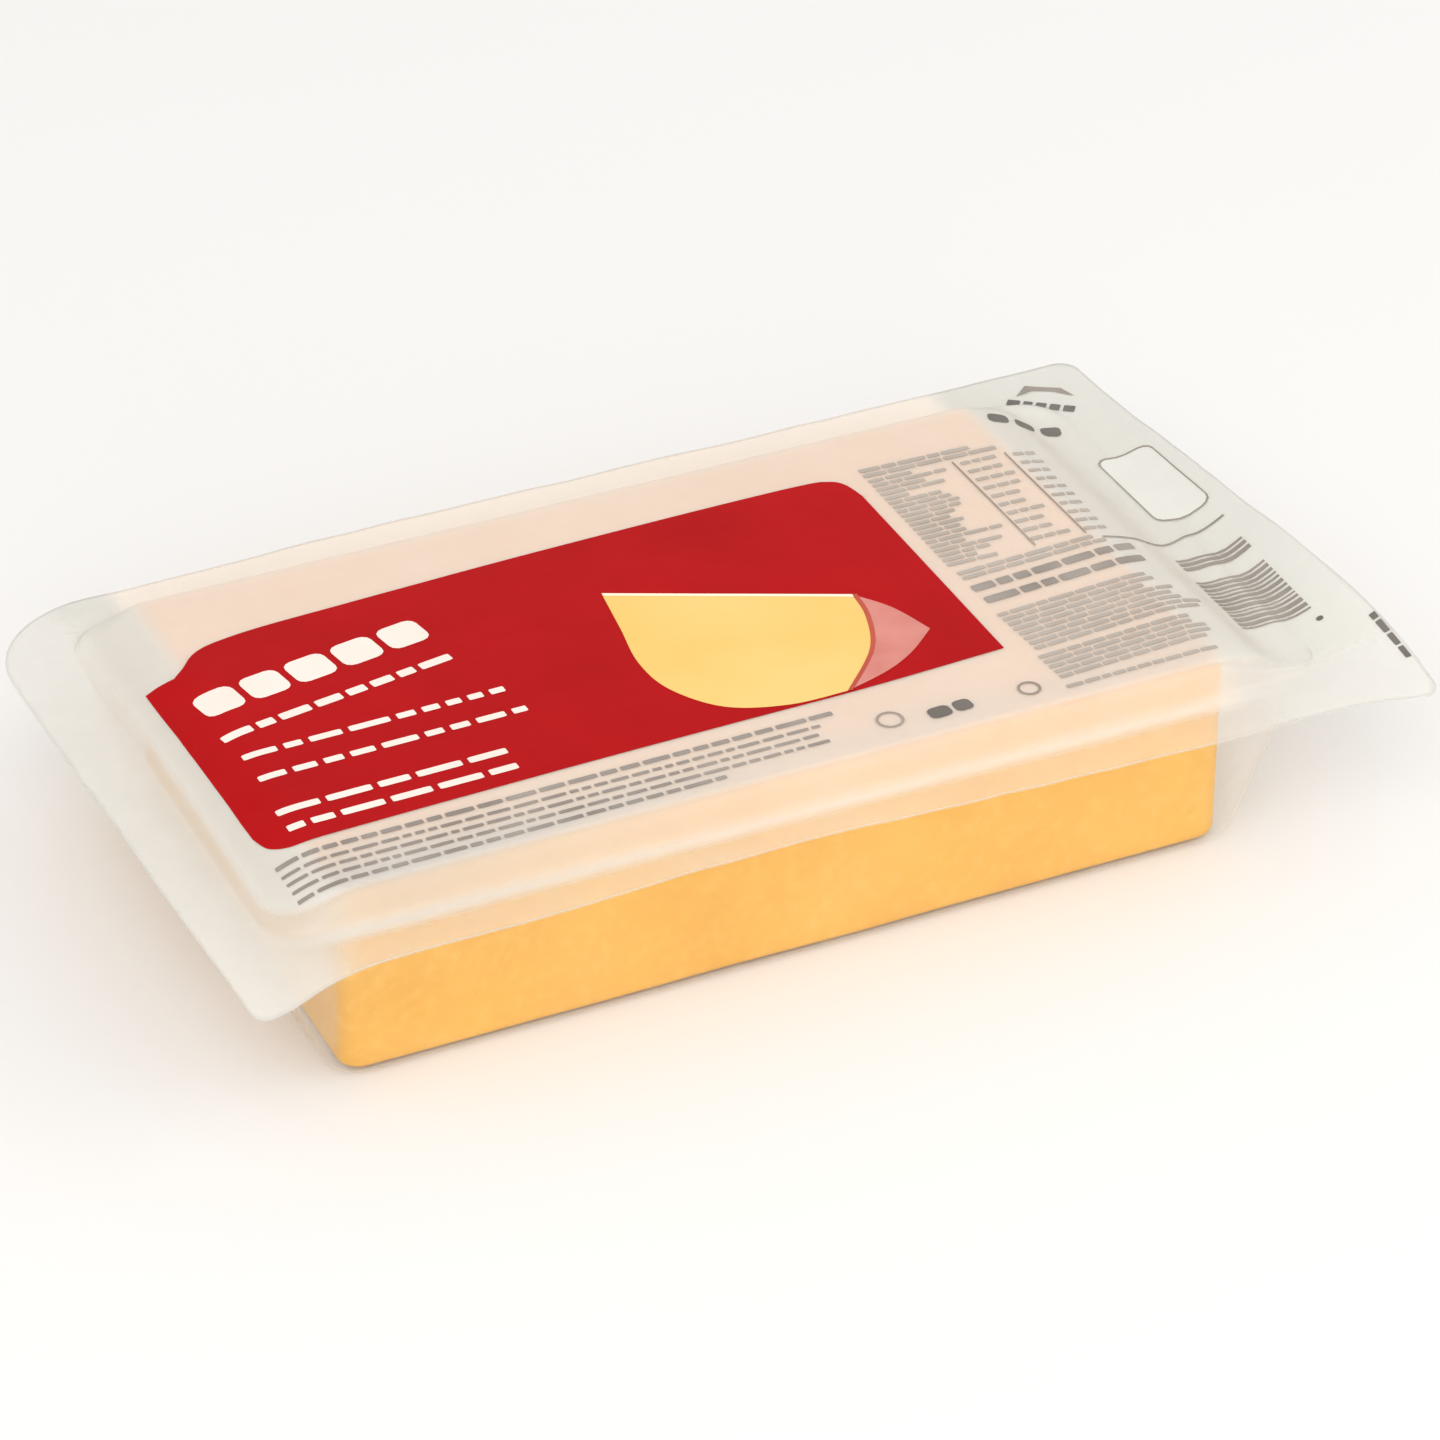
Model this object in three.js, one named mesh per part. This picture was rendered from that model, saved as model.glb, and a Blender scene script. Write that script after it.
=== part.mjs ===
// A block of semi-hard cheese, sealed in a thermoformed film tray under a printed lid film.
// Millimetres, +X along the block, +Y to the back, +Z up.
// The origin is the centre of the tray's flat underside, where the pack stands on a table.

import * as THREE from 'three';

const clearance = 0.3;          // air kept between pieces that touch
const filmThickness = 0.4;

const cheese = { length: 174, width: 104, height: 38, edgeRound: 2.5, cornerRound: 4 };

const flange = {
  level: 33.1,                  // underside of the tray's flange above the table
  reach: { front: 66.3, right: 117.5, back: 66.9, left: 112.5 },
  corners: { frontRight: 3, backRight: 4, backLeft: 22, frontLeft: 3 },
};

const pocket = {
  foot: { front: 52.8, right: 89.4, back: 52.8, left: 88.5 },
  mouth: { front: 53.9, right: 106.1, back: 53.9, left: 99 },
  footRound: { front: 3.2, right: 5, back: 3.2, left: 4 },
  lipRound: 2,
  footCorner: 4.8,
  mouthCorner: 9,
};

const lid = {
  sag: { front: 0, right: 1.6, back: 0, left: 0.5 },  // how far the free film hangs below a straight line
  shoulderRound: 2.8,           // where the film turns over the cheese's top edge
  seatRound: 2,                 // where it meets the flange
  seatMargin: 0.5,              // how far outside the pocket's mouth the weld starts
  shoulderCorner: 4,
};

// The flange is not flat: the shrinking film pulls its edge up in some places and down in others.
const lifts = [
  { x: -112, y: -67, spread: 15, rise: -4.1 },
  { x: -10, y: -67, spread: 35, rise: 1.7 },
  { x: 86, y: -67, spread: 28, rise: -1.3 },
  { x: 120, y: -68, spread: 15, rise: -4.1 },
  { x: 118, y: -28, spread: 32, rise: 5.6 },
  { x: 118, y: 14, spread: 31, rise: 2.9 },
  { x: -92, y: 62, spread: 38, rise: -1.1 },
  { x: -113, y: -28, spread: 36, rise: 3.7 },
];

// The front corners are also drawn out sideways.
const pulls = [
  { x: -112.5, y: -66.3, spread: 19, dx: 4, dy: -4 },
  { x: 117.5, y: -66.3, spread: 32, dx: 5.8, dy: -0.3 },
];

const weldStart = 2.2;                       // how far outside the pocket's mouth the flat flange starts
const midFlange = { at: 0.5, share: 0.4 };   // halfway out, the flange has this share of the lift
const arcSteps = 5;
const longSteps = 12;
const shortSteps = 8;
const bendSteps = 2;

const sides = ['front', 'right', 'back', 'left'];

function perSide(make) {
  return Object.fromEntries(sides.map((side) => [side, make(side)]));
}

function cornerList(value) {
  return { frontRight: value, backRight: value, backLeft: value, frontLeft: value };
}

// A closed loop round the pack, counter-clockwise from above: a rectangle with round corners.
// Every loop has the same number of points, so that neighbouring loops join with quads.
// Each side can run at a height of its own, and the corners blend from one height to the next.
function loopPoints({ reach, height, corners, lift = 0 }) {
  const { frontRight, backRight, backLeft, frontLeft } = corners;
  const rounds = [
    [reach.right - frontRight, -reach.front + frontRight, frontRight, -90, height.front, height.right],
    [reach.right - backRight, reach.back - backRight, backRight, 0, height.right, height.back],
    [-reach.left + backLeft, reach.back - backLeft, backLeft, 90, height.back, height.left],
    [-reach.left + frontLeft, -reach.front + frontLeft, frontLeft, 180, height.left, height.front],
  ];
  const arcs = rounds.map(([x, y, radius, start, from, to]) => {
    const arc = [];
    for (let i = 0; i <= arcSteps; i += 1) {
      const t = i / arcSteps;
      const angle = THREE.MathUtils.degToRad(start + 90 * t);
      const z = THREE.MathUtils.lerp(from, to, THREE.MathUtils.smoothstep(t, 0, 1));
      arc.push(new THREE.Vector3(x + radius * Math.cos(angle), y + radius * Math.sin(angle), z));
    }
    return arc;
  });
  const points = [];
  arcs.forEach((arc, k) => {
    const from = arcs[(k + 3) % 4][arcSteps];
    const steps = k % 2 === 0 ? longSteps : shortSteps;
    for (let i = 1; i < steps; i += 1) {
      points.push(from.clone().lerp(arc[0], i / steps));
    }
    points.push(...arc);
  });
  return points.map((point) => warped(point, lift));
}

// Gaussian lifts and pulls, faded by how far out on the flange the point lies.
function warped(point, share) {
  const moved = point.clone();
  const near = (spot) => Math.exp(-((point.x - spot.x) ** 2 + (point.y - spot.y) ** 2) / spot.spread ** 2);
  lifts.forEach((spot) => {
    moved.z += share * spot.rise * near(spot);
  });
  pulls.forEach((spot) => {
    moved.x += share * spot.dx * near(spot);
    moved.y += share * spot.dy * near(spot);
  });
  return moved;
}

// A section runs from the middle of the pack outwards, as points (distance from the centre line, height).
// Each inner corner with a radius is rounded by a short curve.
function roundedSection(corners) {
  const section = [];
  corners.forEach(({ at, round }, i) => {
    if (!round) {
      section.push(at);
      return;
    }
    const before = corners[i - 1].at.clone().sub(at);
    const after = corners[i + 1].at.clone().sub(at);
    const turn = Math.PI - Math.abs(before.angleTo(after));
    const tangent = round * Math.tan(turn / 2);
    const start = at.clone().addScaledVector(before.normalize(), tangent);
    const end = at.clone().addScaledVector(after.normalize(), tangent);
    section.push(...new THREE.QuadraticBezierCurve(start, at, end).getPoints(bendSteps));
  });
  return section;
}

// The same section moved sideways by a distance: upwards where it runs outwards, inwards where it climbs.
function offsetSection(section, distance) {
  return section.map((point, i) => {
    const before = section[Math.max(i - 1, 0)];
    const after = section[Math.min(i + 1, section.length - 1)];
    const along = after.clone().sub(before).normalize();
    return point.clone().add(new THREE.Vector2(-along.y, along.x).multiplyScalar(distance));
  });
}

// A closed body from loops: flat caps on the first and last loop, and quads between neighbours.
// The way back splits its quads along the same diagonals as the way out, so that two bent films
// stay parallel.
function lofted(loops) {
  const count = loops[0].length;
  const positions = loops.flat().flatMap((point) => point.toArray());
  const centreOf = (loop) => loop.reduce((sum, point) => sum.add(point), new THREE.Vector3())
    .divideScalar(count);
  const firstCentre = loops.length * count;
  const lastCentre = firstCentre + 1;
  positions.push(...centreOf(loops[0]).toArray(), ...centreOf(loops.at(-1)).toArray());
  const index = [];
  for (let i = 0; i < count; i += 1) {
    const next = (i + 1) % count;
    const lastLoop = (loops.length - 1) * count;
    index.push(firstCentre, next, i);
    index.push(lastCentre, lastLoop + i, lastLoop + next);
    for (let k = 0; k < loops.length - 1; k += 1) {
      const here = k * count;
      const there = here + count;
      if (k < loops.length / 2) {
        index.push(here + i, here + next, there + i);
        index.push(there + i, here + next, there + next);
      } else {
        index.push(here + i, here + next, there + next);
        index.push(here + i, there + next, there + i);
      }
    }
  }
  const geometry = new THREE.BufferGeometry();
  geometry.setAttribute('position', new THREE.Float32BufferAttribute(positions, 3));
  geometry.setIndex(index);
  geometry.computeVertexNormals();
  return geometry;
}

// A film is lofted out along its underside and back along its upper side.
function filmGeometry(sectionOf, cornersOf, liftOf) {
  const under = perSide((side) => roundedSection(sectionOf(side)));
  const upper = perSide((side) => offsetSection(under[side], filmThickness));
  const loopAt = (sections, k, last) => loopPoints({
    reach: perSide((side) => sections[side][k].x),
    height: perSide((side) => sections[side][k].y),
    corners: cornersOf(k, last),
    lift: liftOf(k, last),
  });
  const last = under.front.length - 1;
  const out = under.front.map((_, k) => loopAt(under, k, last));
  const back = upper.front.map((_, k) => loopAt(upper, last - k, last));
  return lofted([...out, ...back]);
}

// The last three loops of a film are the start, the middle and the edge of its flat flange.
// Both films share their distances, so that they stay parallel where the flange is bent.
function flangeRun(side, z) {
  const start = pocket.mouth[side] + weldStart;
  const edge = flange.reach[side];
  const middle = THREE.MathUtils.lerp(start, edge, midFlange.at);
  return [start, middle, edge].map((distance) => ({ at: new THREE.Vector2(distance, z) }));
}

function flangeLift(k, last) {
  if (k === last) return 1;
  return k === last - 1 ? midFlange.share : 0;
}

function flangeCorners(k, last, inner) {
  if (k === last) return flange.corners;
  if (k < last - 1) return cornerList(inner(k));
  const { mouthCorner } = pocket;
  const half = Object.entries(flange.corners).map(([name, edge]) => [name, (edge + mouthCorner) / 2]);
  return Object.fromEntries(half);
}

function trayFilm() {
  const { foot, mouth, footRound, lipRound, footCorner, mouthCorner } = pocket;
  const { level } = flange;
  const sectionOf = (side) => [
    { at: new THREE.Vector2(foot[side] - 2 * footRound[side], 0) },
    { at: new THREE.Vector2(foot[side], 0), round: footRound[side] },
    { at: new THREE.Vector2(mouth[side], level), round: lipRound },
    ...flangeRun(side, level),
  ];
  const wallStart = bendSteps + 1;
  const inner = (k) => (k <= wallStart ? footCorner : mouthCorner);
  const material = new THREE.MeshStandardMaterial({
    color: 0xe9e6df, roughness: 0.12, metalness: 0, transparent: true, opacity: 0.3,
  });
  const geometry = filmGeometry(sectionOf, (k, last) => flangeCorners(k, last, inner), flangeLift);
  return new THREE.Mesh(geometry, material);
}

function lidFilm() {
  const underTop = filmThickness + clearance + cheese.height + clearance;
  const seat = flange.level + filmThickness + clearance;
  const shoulder = perSide((side) => {
    const half = side === 'front' || side === 'back' ? cheese.width / 2 : cheese.length / 2;
    return half + clearance * 1.5;
  });
  const foot = perSide((side) => pocket.mouth[side] + lid.seatMargin);
  const sectionOf = (side) => [
    { at: new THREE.Vector2(shoulder[side] - 2 * lid.shoulderRound, underTop) },
    { at: new THREE.Vector2(shoulder[side], underTop), round: lid.shoulderRound },
    {
      at: new THREE.Vector2(
        (shoulder[side] + foot[side]) / 2,
        (underTop + seat) / 2 - lid.sag[side],
      ),
    },
    { at: new THREE.Vector2(foot[side], seat), round: lid.seatRound },
    ...flangeRun(side, seat),
  ];
  const slopeStart = bendSteps + 2;
  const inner = (k) => (k < slopeStart ? lid.shoulderCorner : pocket.mouthCorner);
  const material = new THREE.MeshStandardMaterial({
    color: 0xebe3dc, roughness: 0.25, metalness: 0, transparent: true, opacity: 0.6,
  });
  const geometry = filmGeometry(sectionOf, (k, last) => flangeCorners(k, last, inner), flangeLift);
  return new THREE.Mesh(geometry, material);
}

// One solid block with softly rounded edges: a bottom bend, a top bend and the walls between them.
function cheeseBlock() {
  const { length, width, height, edgeRound, cornerRound } = cheese;
  const bottom = filmThickness + clearance;
  const half = { front: width / 2, right: length / 2, back: width / 2, left: length / 2 };
  const bend = (angle, z) => {
    const inset = edgeRound * (1 - Math.cos(angle));
    return loopPoints({
      reach: perSide((side) => half[side] - inset),
      height: perSide(() => z + edgeRound * Math.sin(angle)),
      corners: cornerList(cornerRound - inset),
    });
  };
  const loops = [];
  for (let i = 0; i <= bendSteps; i += 1) {
    const angle = -Math.PI / 2 + (Math.PI / 2) * (i / bendSteps);
    loops.push(bend(angle, bottom + edgeRound));
  }
  for (let i = 0; i <= bendSteps; i += 1) {
    const angle = (Math.PI / 2) * (i / bendSteps);
    loops.push(bend(angle, bottom + height - edgeRound));
  }
  const material = new THREE.MeshStandardMaterial({ color: 0xfdc66c, roughness: 0.45, metalness: 0 });
  return new THREE.Mesh(lofted(loops), material);
}

const pack = new THREE.Group();
const pieces = { cheese_block: cheeseBlock(), tray_film: trayFilm(), lid_film: lidFilm() };
Object.entries(pieces).forEach(([name, mesh]) => {
  mesh.name = name;
  pack.add(mesh);
});

export default pack;
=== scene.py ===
import math

import bmesh
import bpy
from mathutils import Matrix, Vector, noise
from mathutils.bvhtree import BVHTree


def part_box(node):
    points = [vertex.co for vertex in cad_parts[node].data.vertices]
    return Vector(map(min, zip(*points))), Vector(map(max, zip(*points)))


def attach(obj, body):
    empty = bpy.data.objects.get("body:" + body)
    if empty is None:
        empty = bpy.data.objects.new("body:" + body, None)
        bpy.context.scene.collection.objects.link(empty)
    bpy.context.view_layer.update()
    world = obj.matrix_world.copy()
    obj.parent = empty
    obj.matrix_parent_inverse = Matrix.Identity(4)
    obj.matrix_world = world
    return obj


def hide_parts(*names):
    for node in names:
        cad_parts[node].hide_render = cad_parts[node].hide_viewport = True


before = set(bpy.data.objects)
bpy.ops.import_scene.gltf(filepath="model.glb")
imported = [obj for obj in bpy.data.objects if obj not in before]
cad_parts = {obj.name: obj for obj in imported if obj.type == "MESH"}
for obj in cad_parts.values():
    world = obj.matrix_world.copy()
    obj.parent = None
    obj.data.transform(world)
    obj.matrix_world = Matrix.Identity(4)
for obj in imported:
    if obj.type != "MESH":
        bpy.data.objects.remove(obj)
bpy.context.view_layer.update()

mm = 0.001  # shapes are worked out in millimetres, meshes are in metres
mergeWithin = 0.001  # millimetres: points nearer than this are one point
scene = bpy.context.scene


# Small helpers

def hexColour(code):
    # sRGB hex to the linear values that shaders take
    channels = [int(code[i:i + 2], 16) / 255 for i in (1, 3, 5)]
    linear = [c / 12.92 if c <= 0.04045 else ((c + 0.055) / 1.055) ** 2.4 for c in channels]
    return (*linear, 1)


def addNode(tree, kind, settings=None, links=None):
    # Settings are inputs, by name or number, or the node's own; a mix holds its two colours in 6 and 7
    node = tree.nodes.new(kind)
    for key, value in (settings or {}).items():
        if isinstance(key, int) or key in node.inputs:
            node.inputs[key].default_value = value
        else:
            setattr(node, key, value)
    for key, source in (links or {}).items():
        tree.links.new(source, node.inputs[key])
    return node


def newMaterial(name):
    material = bpy.data.materials.new(name)
    material.use_nodes = True
    material.node_tree.nodes.clear()
    return material, material.node_tree


def smoothStep(low, high, value):
    t = min(max((value - low) / (high - low), 0), 1)
    return t * t * (3 - 2 * t)


def meshObject(name, bm, material):
    # bm is in millimetres, with every point in its place
    bmesh.ops.scale(bm, vec=(mm, mm, mm), verts=bm.verts)
    mesh = bpy.data.meshes.new(name)
    bm.to_mesh(mesh)
    bm.free()
    mesh.materials.append(material)
    obj = bpy.data.objects.new(name, mesh)
    scene.collection.objects.link(obj)
    return obj


def plainMesh(obj):
    # Takes the modifiers into the mesh, so that the finished piece has none
    depsgraph = bpy.context.evaluated_depsgraph_get()
    mesh = bpy.data.meshes.new_from_object(obj.evaluated_get(depsgraph))
    obj.modifiers.clear()
    old, obj.data = obj.data, mesh
    bpy.data.meshes.remove(old)
    mesh.name = obj.name


# The pack's plan, section by section

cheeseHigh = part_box("cheese_block")[1] / mm
cheeseTop = cheeseHigh.z

pack = {
    "flangeLevel": 33.42,                        # middle of the tray's film on the flange
    "flangeReach": (66.3, 117.5, 66.9, 112.5),   # front, right, back, left
    "flangeCorners": (3, 4, 22, 3),              # front right, back right, back left, front left
    "mouth": (53.9, 106.1, 53.9, 99),            # where the tray's walls end, front, right, back, left
    "mouthCorner": 9,
    "weldStart": 2.2,                            # the flat flange starts this far outside the mouth
    "liftPower": 1.32,                           # how the flange's lift grows towards its edge
    "filmThickness": 0.24,
    "weldGap": 0.05,
    "longSteps": 92,
    "shortSteps": 56,
    "arcSteps": 10,
    "bendSteps": 6,
}

# The shrinking film pulls the flange's edge up in some places and down in others: x, y, spread, rise
flangeLifts = [
    (-112, -67, 15, -4.1),
    (-10, -67, 35, 1.7),
    (86, -67, 28, -1.3),
    (120, -68, 15, -4.1),
    (118, -28, 32, 5.6),
    (118, 14, 31, 2.9),
    (-92, 62, 38, -1.1),
    (-113, -28, 36, 3.7),
]

# The front corners are pulled out of square: x, y, spread, dx, dy
flangePulls = [
    (-112.5, -66.3, 19, 4, -4),
    (117.5, -66.3, 32, 5.8, -0.3),
]

# Small ripples, at full height from this share of the flange's width
flangeRipple = {"wave": 11, "height": 0.28, "seed": 3.7, "fullFrom": 0.4}


def warped(point, out):
    # out is 0 up to the weld and 1 at the flange's edge
    share = out ** pack["liftPower"]
    x, y, z = point
    for cx, cy, spread, rise in flangeLifts:
        z += share * rise * math.exp(-((point.x - cx) ** 2 + (point.y - cy) ** 2) / spread ** 2)
    for cx, cy, spread, dx, dy in flangePulls:
        near = share * math.exp(-((point.x - cx) ** 2 + (point.y - cy) ** 2) / spread ** 2)
        x += dx * near
        y += dy * near
    spot = Vector((point.x, point.y, flangeRipple["seed"] * flangeRipple["wave"])) / flangeRipple["wave"]
    z += flangeRipple["height"] * smoothStep(0, flangeRipple["fullFrom"], out) * noise.noise(spot)
    return Vector((x, y, z))


def loopPoints(ring):
    # ring holds one (distance, height, plan radius, outness) for front, right, back and left
    front, right, back, left = (side.x for side in ring)
    heights = [side.y for side in ring]
    radii = [side.z for side in ring]
    centres = [
        (right - radii[0], -front + radii[0]),
        (right - radii[1], back - radii[1]),
        (-left + radii[2], back - radii[2]),
        (-left + radii[3], -front + radii[3]),
    ]
    arcs = []
    for k, (x, y) in enumerate(centres):
        arc = []
        for i in range(pack["arcSteps"] + 1):
            t = i / pack["arcSteps"]
            angle = math.radians(90 * (k - 1 + t))
            z = heights[k] + (heights[(k + 1) % 4] - heights[k]) * smoothStep(0, 1, t)
            arc.append(Vector((x + radii[k] * math.cos(angle), y + radii[k] * math.sin(angle), z)))
        arcs.append(arc)
    points = []
    for k, arc in enumerate(arcs):
        steps = pack["longSteps"] if k % 2 == 0 else pack["shortSteps"]
        points += [arcs[k - 1][-1].lerp(arc[0], i / steps) for i in range(1, steps)]
        points += arc
    return [warped(point, ring[0].w) for point in points]


def sectionPoints(corners, runs):
    # corners: (distance, height, plan radius, outness, rounding); runs: (steps, sag) of each stretch between
    bends = []
    for i, (*place, rounding) in enumerate(corners):
        at = Vector(place)
        if not rounding:
            bends.append([at])
            continue
        before = Vector(corners[i - 1][:4]) - at
        after = Vector(corners[i + 1][:4]) - at
        tangent = rounding * math.tan((math.pi - before.xy.angle(after.xy)) / 2)
        start = at + before * (tangent / before.xy.length)
        end = at + after * (tangent / after.xy.length)
        bend = []
        for j in range(pack["bendSteps"] + 1):
            t = j / pack["bendSteps"]
            bend.append(start.lerp(at, t).lerp(at.lerp(end, t), t))
        bends.append(bend)
    points = list(bends[0])
    for bend, (steps, sag) in zip(bends[1:], runs):
        start = points[-1]
        for j in range(1, steps):
            t = j / steps
            point = start.lerp(bend[0], t)
            point.y -= sag * math.sin(math.pi * t) ** 2
            points.append(point)
        points += bend
    return points


def sheetMesh(sections):
    # A sheet of quads from the middle of the pack outwards; it closes where a loop has no width
    loops = [loopPoints(ring) for ring in zip(*sections)]
    count = len(loops[0])
    bm = bmesh.new()
    verts = [[bm.verts.new(point) for point in loop] for loop in loops]
    for inner, outer in zip(verts, verts[1:]):
        for i in range(count):
            j = (i + 1) % count
            bm.faces.new((inner[i], outer[i], outer[j], inner[j]))
    bmesh.ops.remove_doubles(bm, verts=bm.verts, dist=mergeWithin)
    bmesh.ops.recalc_face_normals(bm, faces=bm.faces)
    for face in bm.faces:
        face.smooth = True
    return bm


def hub(distances):
    # Where the sheet closes on the pack's middle line: no width across, the rest of the length along
    across = min(distances)
    return [distance - across for distance in distances]


def flangeCorners(side, z):
    start = pack["mouth"][side] + pack["weldStart"]
    return [
        (start, z, pack["mouthCorner"], 0, 0),
        (pack["flangeReach"][side], z, pack["flangeCorners"][side], 1, 0),
    ]


def addShares(obj, names, rows):
    # One value a point for each name, which the material reads as an attribute
    for name, values in zip(names, zip(*rows)):
        attribute = obj.data.attributes.new(name, "FLOAT", "POINT")
        attribute.data.foreach_set("value", values)


def thickened(obj):
    solid = obj.modifiers.new("thickness", "SOLIDIFY")
    solid.thickness = pack["filmThickness"] * mm
    solid.offset = 0
    solid.use_even_offset = True
    plainMesh(obj)
    bm = bmesh.new()
    bm.from_mesh(obj.data)
    bmesh.ops.recalc_face_normals(bm, faces=bm.faces)
    bm.to_mesh(obj.data)
    bm.free()
    return obj


# Cheese: a block of young gouda, pressed and wire cut

cheese = {
    "edgeRound": 2.5,
    "cornerRound": 4,
    "bottom": 0.45,
    "steps": (24, 16, 24),                    # across the underside, the sides and the top
    "dentWave": 26, "dentDepth": 0.30,        # slow unevenness of the pressed block
    "grainWave": 5, "grainDepth": 0.06,
    "body": "#E3AF50", "rich": "#DDA445", "pale": "#EBBE68",
}


def cheeseMaterial():
    # Young gouda: fat-rich and dense, so satin and warm, with light going a few millimetres in
    material, tree = newMaterial("youngGouda")
    place = addNode(tree, "ShaderNodeTexCoord")
    cloud = addNode(tree, "ShaderNodeTexNoise", {"Scale": 38, "Detail": 3, "Roughness": 0.5},
                    {"Vector": place.outputs["Object"]})  # patches of about 25 mm
    curd = addNode(tree, "ShaderNodeTexNoise", {"Scale": 420, "Detail": 2, "Roughness": 0.6},
                   {"Vector": place.outputs["Object"]})   # pressed curd grains of 2 to 3 mm
    ramp = addNode(tree, "ShaderNodeValToRGB", {}, {"Fac": cloud.outputs["Fac"]})
    ramp.color_ramp.elements[0].position = 0.3
    ramp.color_ramp.elements[0].color = hexColour(cheese["rich"])
    ramp.color_ramp.elements[1].position = 0.7
    ramp.color_ramp.elements[1].color = hexColour(cheese["body"])
    fleck = addNode(tree, "ShaderNodeMapRange", {"From Min": 0.48, "From Max": 0.72, "To Max": 0.35},
                    {"Value": curd.outputs["Fac"]})
    colour = addNode(tree, "ShaderNodeMix", {"data_type": "RGBA", 7: hexColour(cheese["pale"])},
                     {0: fleck.outputs[0], 6: ramp.outputs["Color"]})
    pores = addNode(tree, "ShaderNodeTexVoronoi", {"Scale": 190, "Randomness": 1.0},
                    {"Vector": place.outputs["Object"]})  # pinholes about 5 mm apart
    pit = addNode(tree, "ShaderNodeMapRange", {"From Min": 0.05, "From Max": 0.16},
                  {"Value": pores.outputs["Distance"]})
    relief = addNode(tree, "ShaderNodeMath", {"operation": "MULTIPLY_ADD", 1: 0.35},
                     {0: curd.outputs["Fac"], 2: pit.outputs[0]})
    bump = addNode(tree, "ShaderNodeBump", {"Strength": 0.35, "Distance": 0.0003},
                   {"Height": relief.outputs[0]})
    gloss = addNode(tree, "ShaderNodeMapRange", {"To Min": 0.38, "To Max": 0.52},
                    {"Value": cloud.outputs["Fac"]})
    shader = addNode(tree, "ShaderNodeBsdfPrincipled", {
        "IOR": 1.46, "Subsurface Weight": 0.25, "Subsurface Radius": (1.0, 0.5, 0.18),
        "Subsurface Scale": 0.003}, {
        "Base Color": colour.outputs[2], "Roughness": gloss.outputs[0], "Normal": bump.outputs[0]})
    addNode(tree, "ShaderNodeOutputMaterial", {}, {"Surface": shader.outputs[0]})
    return material


def makeCheese():
    half = (cheeseHigh.y, cheeseHigh.x, cheeseHigh.y, cheeseHigh.x)
    inner = hub(half)
    corner, edge = cheese["cornerRound"], cheese["edgeRound"]
    sections = []
    for side in range(4):
        corners = [
            (inner[side], cheese["bottom"], 0, 0, 0),
            (half[side], cheese["bottom"], corner, 0, edge),
            (half[side], cheeseTop, corner, 0, edge),
            (inner[side], cheeseTop, 0, 0, 0),
        ]
        sections.append(sectionPoints(corners, [(count, 0) for count in cheese["steps"]]))
    bm = sheetMesh(sections)
    bm.normal_update()
    for vert in bm.verts:
        dent = 0.5 + 0.5 * noise.noise(vert.co / cheese["dentWave"])
        grain = 0.5 + 0.5 * noise.noise(vert.co / cheese["grainWave"])
        vert.co -= vert.normal * (cheese["dentDepth"] * dent + cheese["grainDepth"] * grain)
    return meshObject("cheese", bm, cheeseMaterial())


cheesePiece = makeCheese()
print("cheese done")


# Tray film: clear nylon and polythene, thermoformed

tray = {
    "foot": (52.8, 89.4, 52.8, 88.5),        # half widths at the bottom, front, right, back, left
    "footRound": (3.2, 5, 3.2, 4),
    "footCorner": 4.8,
    "lipRound": 2,
    "steps": (16, 16, 2, 12),                # across the bottom, the wall, the lip and the flange
    "drawWave": 9, "drawDepth": 0.35,        # thickness ripples of the drawn end walls
    "heightShare": 0.35,                     # heights count less, so the ripples run up and down
    "drawHeights": (3, 10, 24, 31),          # the drawn stretch begins, is full, fades and ends
    "drawStart": 2,                          # and is full this far past the block's ends
    "tint": "#EFF1EE", "tintPale": "#FAFAF6",
    "haze": (0.02, 0.04), "endHaze": 0.09,   # the end walls were stretched most
    "roughness": 0.12, "edgeGloss": 0.45,
}


def filmShader(tree, film, haze, colour, bump):
    # A film: see-through but for its haze, with a gloss that grows towards grazing angles
    facing = addNode(tree, "ShaderNodeLayerWeight", {"Blend": 0.5}, {"Normal": bump})
    rim = addNode(tree, "ShaderNodeMath", {"operation": "POWER", 1: 5.0}, {0: facing.outputs["Facing"]})
    edge = addNode(tree, "ShaderNodeMath", {
        "operation": "MULTIPLY_ADD", "use_clamp": True, 1: film["edgeGloss"]},
        {0: rim.outputs[0], 2: haze})
    clear = addNode(tree, "ShaderNodeBsdfTransparent", {"Color": (1, 1, 1, 1)})
    shader = addNode(tree, "ShaderNodeBsdfPrincipled",
                     {"IOR": 1.5, "Roughness": film["roughness"], "Specular IOR Level": 0.6},
                     {"Base Color": colour, "Normal": bump})
    through = addNode(tree, "ShaderNodeBsdfTranslucent", {}, {"Color": colour, "Normal": bump})
    body = addNode(tree, "ShaderNodeMixShader", {0: 0.5}, {1: shader.outputs[0], 2: through.outputs[0]})
    mix = addNode(tree, "ShaderNodeMixShader", {},
                  {0: edge.outputs[0], 1: clear.outputs[0], 2: body.outputs[0]})
    addNode(tree, "ShaderNodeOutputMaterial", {}, {"Surface": mix.outputs[0]})


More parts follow.
